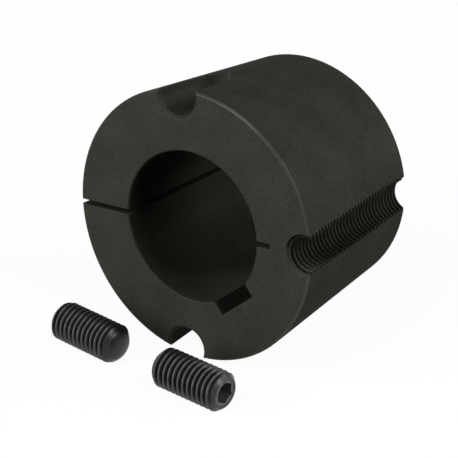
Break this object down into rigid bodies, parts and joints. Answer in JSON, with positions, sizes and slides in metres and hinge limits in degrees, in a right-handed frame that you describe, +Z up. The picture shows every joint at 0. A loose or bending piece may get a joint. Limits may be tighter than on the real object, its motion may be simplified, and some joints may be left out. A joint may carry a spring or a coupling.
{
  "type": "taper bush with set screws",
  "caption": "Split taper bush with a keyed bore and half-holes around its large end, its socket set screws lying in front of it.",
  "frame": {"origin": "on the floor, under the middle of the box around the bush and its two screws", "axes": "+Z up; the bush's large face looks to -Y and its axis runs to +Y, sloping down 4 degrees; +X to the right as the large face is seen"},
  "size_m": [0.1078, 0.1144, 0.1076],
  "materials": {
    "bush_iron": "satin black phosphate over turned cast iron",
    "screw_steel": "black oxide on alloy steel"
  },
  "bodies": {
    "root": {"bush_body": "bush_iron", "set_screw_left": "screw_steel", "set_screw_right": "screw_steel"}
  },
  "joints": []
}
